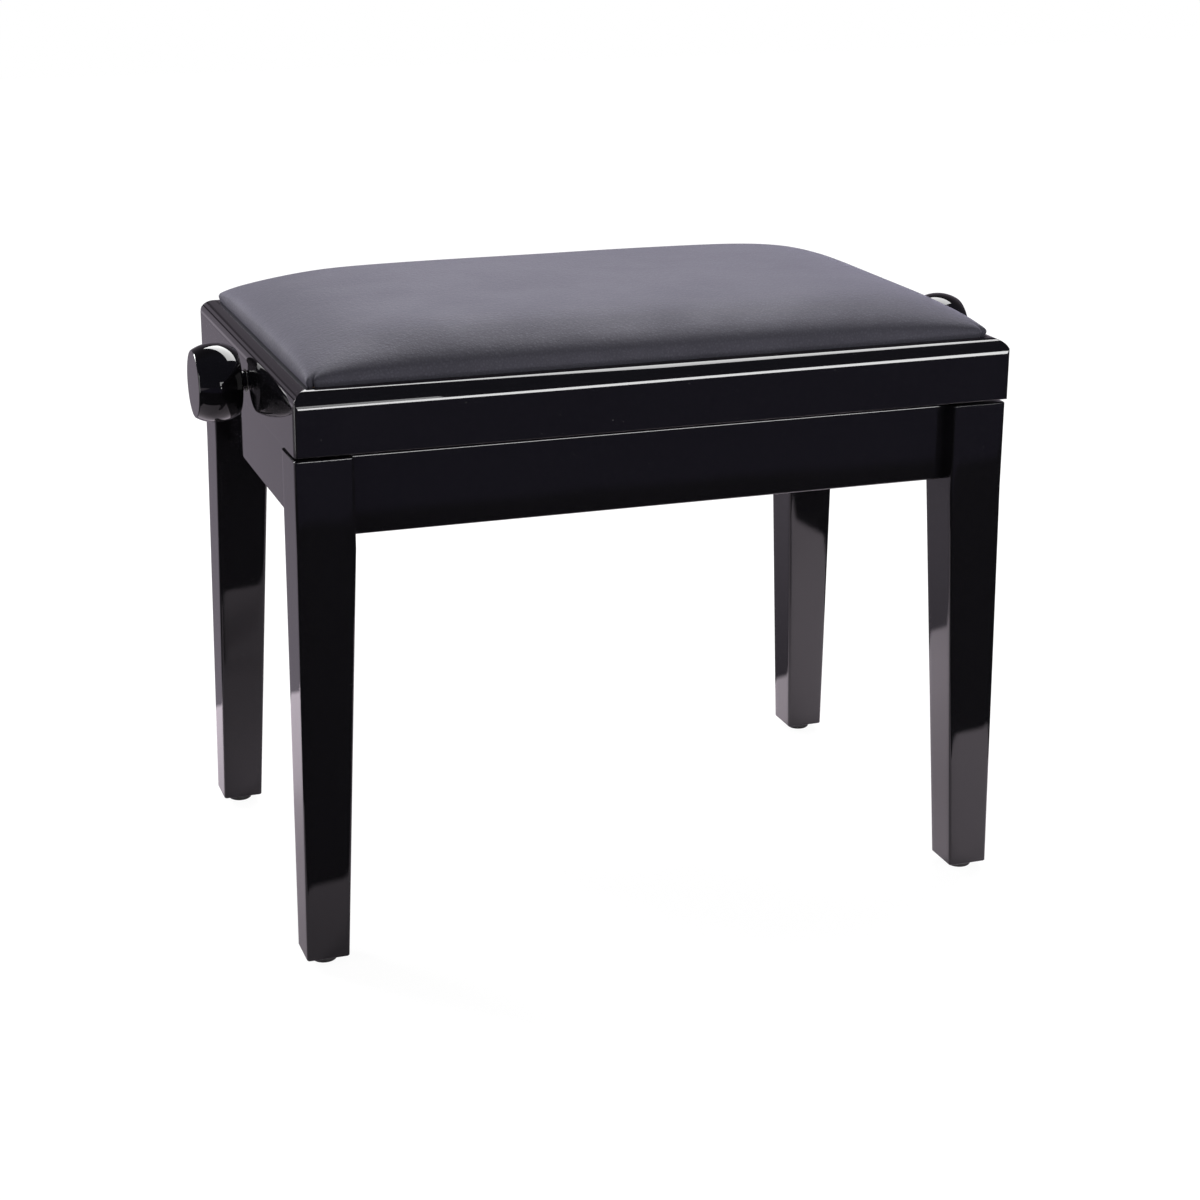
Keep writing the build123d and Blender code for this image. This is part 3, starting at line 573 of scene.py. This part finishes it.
def rim_levels():
    """The rows below the crowned top, as how far in and how high.

    The edge is drawn in towards the rail, the skirt goes down to the lip, and the last rows
    leave room for the board.
    """
    low = pad_low.z
    inside = PAD_BULGE + COVER_THICK
    lip_end = PAD_BULGE + COVER_LIP
    lip_top = low + COVER_THICK - BOARD_ROOM
    return [
        (0.15 * PAD_BULGE, rail_top + 0.55 * PAD_EDGE),
        (0.70 * PAD_BULGE, rail_top + 0.20 * PAD_EDGE),
        (1.10 * PAD_BULGE, rail_top - 0.10 * PAD_EDGE),
        (PAD_BULGE, rail_top - 0.60 * PAD_EDGE),
        (PAD_BULGE, low + COVER_FOLD),
        (PAD_BULGE + COVER_FOLD, low),
        (lip_end, low),
        (lip_end, lip_top),
        (inside, lip_top),
        (inside, rail_top + BOARD_ROOM),
    ]


def pad_mesh(name, first, largest, shape):
    """A closed pad: a crowned top on a grid, then rows down its edge and round under the board."""
    xs = stations(half_x, first, largest)
    ys = stations(half_y, first, largest)
    mesh = bmesh.new()
    top = [[mesh.verts.new(shape(x, y)) for x in xs] for y in ys]
    for lower, upper in zip(top, top[1:]):
        for i in range(len(xs) - 1):
            mesh.faces.new((lower[i], lower[i + 1], upper[i + 1], upper[i]))
    ring = border([[(x, y) for x in xs] for y in ys])
    above = border(top)
    for inset, z in rim_levels():
        below = []
        for x, y in ring:
            px, py = round_corner(x, y)
            px *= 1.0 - inset / half_x
            py *= 1.0 - inset / half_y
            below.append(mesh.verts.new((px, py, z)))
        for i in range(len(ring)):
            j = (i + 1) % len(ring)
            mesh.faces.new((above[j], above[i], below[i], below[j]))
        above = below
    underside = mesh.faces.new(list(reversed(above)))
    bmesh.ops.triangulate(mesh, faces=[underside])
    bmesh.ops.recalc_face_normals(mesh, faces=mesh.faces)
    data = bpy.data.meshes.new(name)
    mesh.to_mesh(data)
    mesh.free()
    made = bpy.data.objects.new(name, data)
    bpy.context.scene.collection.objects.link(made)
    return made, xs, ys


def plain_shape(lower):
    """The crowned form by formula, lowered so that the cloth has room to swell."""
    def shape(x, y):
        px, py = round_corner(x, y)
        return (px, py, rail_top + PAD_EDGE + crown_height(x, y) * (crown_rise - lower))
    return shape


def calmed(moves, wide):
    """The cloth's moves, each drawn towards its four neighbours. The rim stays where it is held."""
    neighbour = (1.0 - SIM_CALM_OWN) / 4
    calm = list(moves)
    for i in range(wide, len(moves) - wide):
        if 0 < i % wide < wide - 1:
            around = moves[i - 1] + moves[i + 1] + moves[i - wide] + moves[i + wide]
            calm[i] = SIM_CALM_OWN * moves[i] + neighbour * around
    return calm


def cloth_swell():
    """Blow the pad up as cloth. Gives how far each place of its top moved, with the grid's stations."""
    pad, xs, ys = pad_mesh("pad_cloth", SIM_STEP, SIM_STEP, plain_shape(SIM_START_LOWER))
    rest = [v.co.copy() for v in pad.data.vertices]
    held = pad.vertex_groups.new(name="held")
    count = len(xs) * len(ys)
    held.add(list(range(count, len(rest))), 1.0, "REPLACE")
    rim = [i for i in range(count) if rest[i].z < rail_top + PAD_EDGE + SIM_RIM]
    held.add(rim, 1.0, "REPLACE")
    cloth = pad.modifiers.new("cloth", "CLOTH")
    cloth.settings.use_pressure = True
    cloth.settings.uniform_pressure_force = SIM_PRESSURE
    cloth.settings.vertex_group_mass = "held"
    cloth.settings.effector_weights.gravity = 0.0
    cloth.point_cache.frame_start = 1
    cloth.point_cache.frame_end = SIM_FRAMES
    scene = bpy.context.scene
    for number in range(1, SIM_FRAMES + 1):
        scene.frame_set(number)
    swollen = pad.evaluated_get(bpy.context.evaluated_depsgraph_get()).data
    moves = []
    for i in range(count):
        move = swollen.vertices[i].co - rest[i]
        moves.append(move * min(1.0, SIM_CAP / max(move.length, SIM_SMALLEST)))
    scene.frame_set(1)
    data = pad.data
    bpy.data.objects.remove(pad)
    bpy.data.meshes.remove(data)
    for _ in range(SIM_CALM):
        moves = calmed(moves, len(xs))
    return moves, xs, ys


def between(moves, xs, ys, x, y):
    """The cloth's move at any place, from the four nearest places of its grid."""
    i = min(int((x - xs[0]) / (xs[-1] - xs[0]) * (len(xs) - 1)), len(xs) - 2)
    j = min(int((y - ys[0]) / (ys[-1] - ys[0]) * (len(ys) - 1)), len(ys) - 2)
    s = (x - xs[i]) / (xs[i + 1] - xs[i])
    t = (y - ys[j]) / (ys[j + 1] - ys[j])
    wide = len(xs)
    low = moves[j * wide + i].lerp(moves[j * wide + i + 1], s)
    high = moves[(j + 1) * wide + i].lerp(moves[(j + 1) * wide + i + 1], s)
    return low.lerp(high, t)


def swollen_shape(swell):
    """The crowned form with the cloth's swelling and slow unevenness."""
    plain = plain_shape(SIM_START_LOWER)

    def shape(x, y):
        point = Vector(plain(x, y))
        point += between(*swell, x, y)
        wave = noise.noise(Vector((x, y, 0.0)) / UNEVEN_LENGTH)
        point.z += crown_height(x, y) * UNEVEN * wave
        return point
    return shape


def outward(x, y):
    """The level direction out of the side of the plan that a place belongs to."""
    if abs(x / half_x) > abs(y / half_y):
        return Vector((math.copysign(1.0, x), 0.0, 0.0))
    return Vector((0.0, math.copysign(1.0, y), 0.0))


def bell(offset, width):
    """1 in the middle, falling to 0 over a width."""
    return math.exp(-((offset / width) ** 2))


def pull_and_pleat(pad):
    """Draw the edge in between its staples and fold the cover at the corners. The skirt stays as it is."""
    skirt_top = rail_top - 0.5 * PAD_EDGE
    for vertex in pad.data.vertices:
        x, y, z = vertex.co
        if z < skirt_top:
            continue
        gap = min(half_x - abs(x), half_y - abs(y))
        near = math.exp(-max(gap, 0.0) / PUCKER_REACH)
        wave = noise.noise(Vector((x, y, PUCKER_SLICE)) / PUCKER_LENGTH)
        vertex.co += outward(x, y) * (PUCKER * wave * near)
        corner = Vector((math.copysign(half_x, x), math.copysign(half_y, y), rail_top))
        off = vertex.co - corner
        side = math.copysign(1.0, x) * off.x - math.copysign(1.0, y) * off.y
        slit = bell(side + PLEAT_PLACE, PLEAT_WIDTH)
        fold = bell(side - PLEAT_FOLD_PLACE, PLEAT_FOLD_WIDTH)
        away = Vector((math.copysign(PLEAT_LEVEL, x), math.copysign(PLEAT_LEVEL, y), PLEAT_UP))
        vertex.co += away * bell(off.length, PLEAT_REACH) * (PLEAT_FOLD * fold - PLEAT_DEPTH * slit)


def make_pad():
    """The upholstered pad, which stands for the cover and its foam."""
    shape = swollen_shape(cloth_swell())
    pad = pad_mesh("seat_pad", FINE_STEP, COARSE_STEP, shape)[0]
    pull_and_pleat(pad)
    for face in pad.data.polygons:
        face.use_smooth = True
    smooth = pad.modifiers.new("smooth", "SUBSURF")
    smooth.levels = 1
    smooth.render_levels = 1
    pad.data.materials.append(FINISHES["leatherette"])
    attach(pad, "seat")
    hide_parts("seat_cover", "seat_foam")


# Studio
def make_camera():
    """The camera at the photograph's viewing angle."""
    data = bpy.data.cameras.new("camera")
    data.lens = CAMERA_LENS
    data.sensor_width = CAMERA_SENSOR
    data.sensor_fit = "HORIZONTAL"
    data.shift_x, data.shift_y = CAMERA_SHIFT
    camera = bpy.data.objects.new("camera", data)
    camera.location = CAMERA_PLACE
    tilt = math.radians(90.0 - CAMERA_ELEVATION)
    camera.rotation_euler = Euler((tilt, 0.0, -math.radians(CAMERA_AZIMUTH)))
    bpy.context.scene.collection.objects.link(camera)
    bpy.context.scene.camera = camera


def make_lamp(name, spot, size, power, target=SEAT_MIDDLE, turn=0.0):
    """A flat soft lamp that faces a target."""
    data = bpy.data.lights.new(name, "AREA")
    data.shape = "RECTANGLE"
    data.size, data.size_y = size
    data.energy = power
    lamp = bpy.data.objects.new(name, data)
    lamp.location = spot
    facing = (Vector(target) - Vector(spot)).to_track_quat("-Z", "Y")
    turned = Euler((0.0, 0.0, math.radians(turn))).to_quaternion()
    lamp.rotation_euler = (facing @ turned).to_euler()
    bpy.context.scene.collection.objects.link(lamp)


def by_ray(tree, seen, shine, light):
    """One look for the camera and through glass, one for gloss, and one for all other light."""
    path = add(tree, "ShaderNodeLightPath").outputs
    clear = joined(tree, path["Is Camera Ray"], path["Is Transmission Ray"], "MAXIMUM")
    lit = add(tree, "ShaderNodeMixShader", {0: path["Is Glossy Ray"], 1: light, 2: shine}).outputs[0]
    return add(tree, "ShaderNodeMixShader", {0: clear, 1: lit, 2: seen}).outputs[0]


def studio_floor_glow(tree, across, along, depth):
    """Painted reflection: the glow of the dim floor beyond the table, in front of it, behind it and far to
    the left.
    """
    far = span(tree, depth, STUDIO_FRONT + STUDIO_FRONT_SOFT, STUDIO_FRONT - STUDIO_FRONT_SOFT)
    front = tint(tree, far, NEAR_FRONT_PAINTED_GLOW, FAR_FRONT_PAINTED_GLOW)
    left = span(tree, across, STUDIO_BACK_SPREAD, -STUDIO_BACK_SPREAD)
    back = tint(tree, left, BACK_RIGHT_PAINTED_GLOW, BACK_LEFT_PAINTED_GLOW)
    behind = span(tree, along, -STUDIO_MIDDLE_SOFT, STUDIO_MIDDLE_SOFT)
    far_left = span(tree, across, STUDIO_LEFT + STUDIO_LEFT_SOFT, STUDIO_LEFT - STUDIO_LEFT_SOFT)
    return tint(tree, far_left, tint(tree, behind, front, back), FAR_LEFT_PAINTED_GLOW)


def floor_shine(tree):
    """What the gloss sees of the floor: a white table round the bench with painted shade and a painted glow,
    and a dim studio beyond it painted as glow.
    """
    spot = add(tree, "ShaderNodeNewGeometry").outputs["Position"]
    turn = {"Vector": spot, "Rotation": (0.0, 0.0, -math.radians(TABLE_TURN))}
    turned = add(tree, "ShaderNodeVectorRotate", turn, rotation_type="EULER_XYZ").outputs["Vector"]
    apart = add(tree, "ShaderNodeSeparateXYZ", {"Vector": turned}).outputs
    # Across and along follow the turned table, depth follows the room
    across = apart["X"]
    along = apart["Y"]
    depth = add(tree, "ShaderNodeSeparateXYZ", {"Vector": spot}).outputs["Y"]

    # The table ends softly on all four sides
    front = span(tree, along, TABLE_FRONT - TABLE_SOFT, TABLE_FRONT + TABLE_SOFT)
    back = span(tree, along, TABLE_BACK + TABLE_SOFT, TABLE_BACK - TABLE_SOFT)
    wide = add(tree, "ShaderNodeMath", {0: across}, operation="ABSOLUTE").outputs["Value"]
    side = span(tree, wide, TABLE_SIDE + TABLE_SOFT, TABLE_SIDE - TABLE_SOFT)
    table = joined(tree, joined(tree, front, back, "MULTIPLY"), side, "MULTIPLY")

    # Its paper takes the lamps' light, its colour is painted darker to the left and the front as painted
    # shade, and it has a faint painted glow of its own
    to_right = span(tree, across, *TABLE_BRIGHT_ACROSS)
    to_back = span(tree, along, *TABLE_BRIGHT_ALONG, 0.0, TABLE_BRIGHT_BACK)
    bright = joined(tree, to_right, to_back, "MAXIMUM")
    shade = tint(tree, bright, TABLE_PAINTED_SHADE_COLOUR, TABLE_BRIGHT_COLOUR)
    paper = add(tree, "ShaderNodeBsdfDiffuse", {"Color": shade}).outputs[0]
    glow_inputs = {"Color": TABLE_GLOW_COLOUR, "Strength": TABLE_GLOW}
    glow = add(tree, "ShaderNodeEmission", glow_inputs).outputs[0]
    lit = add(tree, "ShaderNodeAddShader", {0: paper, 1: glow}).outputs[0]
    # The dim studio beyond the table is painted on the floor as glow, a painted reflection
    beyond = studio_floor_glow(tree, across, along, depth)
    dim = add(tree, "ShaderNodeEmission", {"Color": beyond, "Strength": 1.0}).outputs[0]
    return add(tree, "ShaderNodeMixShader", {0: table, 1: dim, 2: lit}).outputs[0]


def make_floor():
    """A plain floor: white with a faint shadow for the camera, and for the gloss the studio's floor with
    painted shade and painted glow.
    """
    half = FLOOR_SIZE / 2
    data = bpy.data.meshes.new("floor")
    corners = [(-half, -half, 0.0), (half, -half, 0.0), (half, half, 0.0), (-half, half, 0.0)]
    data.from_pydata(corners, [], [(0, 1, 2, 3)])
    floor = bpy.data.objects.new("floor", data)
    bpy.context.scene.collection.objects.link(floor)
    made = bpy.data.materials.new("floor")
    made.use_nodes = True
    tree = made.node_tree
    tree.nodes.clear()
    paper = add(tree, "ShaderNodeBsdfDiffuse", {"Color": FLOOR_PAPER}).outputs[0]
    thin = add(tree, "ShaderNodeBsdfDiffuse", {"Color": FLOOR_THIN}).outputs[0]
    spot = add(tree, "ShaderNodeNewGeometry").outputs["Position"]
    far = add(tree, "ShaderNodeVectorMath", {0: spot}, operation="LENGTH").outputs["Value"]
    level = span(tree, far, FLOOR_NEAR, FLOOR_FAR, FLOOR_NEAR_WHITE, FLOOR_WHITE)
    white = add(tree, "ShaderNodeEmission", {"Strength": level}).outputs[0]
    seen = add(tree, "ShaderNodeAddShader", {0: thin, 1: white}).outputs[0]
    surface = by_ray(tree, seen, floor_shine(tree), paper)
    add(tree, "ShaderNodeOutputMaterial", {"Surface": surface})
    data.materials.append(made)


def room_levels(tree, height):
    """The light at the back of the room, in bands from low to high."""
    bands = add(tree, "ShaderNodeValToRGB", {"Fac": span(tree, height, *ROOM_HEIGHTS)})
    elements = bands.color_ramp.elements
    while len(elements) < len(ROOM_LEVELS):
        elements.new(1.0)
    for element, (where, level) in zip(elements, ROOM_LEVELS):
        element.position = where
        element.color = (*[share * level for share in ROOM_TINT], 1.0)
    return bands.outputs["Color"]


def make_world():
    """White for the camera, a dim room that is lighter at the back for the gloss, and a plain fill."""
    world = bpy.data.worlds.new("studio")
    bpy.context.scene.world = world
    world.use_nodes = True
    tree = world.node_tree
    tree.nodes.clear()
    way = add(tree, "ShaderNodeTexCoord").outputs["Generated"]
    apart = add(tree, "ShaderNodeSeparateXYZ", {"Vector": way}).outputs
    rear = span(tree, apart["Y"], *ROOM_REAR)
    around = tint(tree, rear, ROOM_FRONT_COLOUR, room_levels(tree, apart["Z"]))
    dim = add(tree, "ShaderNodeBackground", {"Color": around, "Strength": 1.0}).outputs[0]
    fill = add(tree, "ShaderNodeBackground", {"Color": WHITE, "Strength": ROOM_FILL}).outputs[0]
    white = add(tree, "ShaderNodeBackground", {"Color": WHITE, "Strength": 1.0}).outputs[0]
    add(tree, "ShaderNodeOutputWorld", {"Surface": by_ray(tree, white, dim, fill)})


def make_studio():
    """Camera, floor, surroundings and lamps."""
    make_camera()
    make_floor()
    make_world()
    for name, lamp in LAMPS.items():
        make_lamp(name, **lamp)
    bpy.context.scene.view_settings.view_transform = "Standard"


dress_nodes()
make_pad()
make_studio()
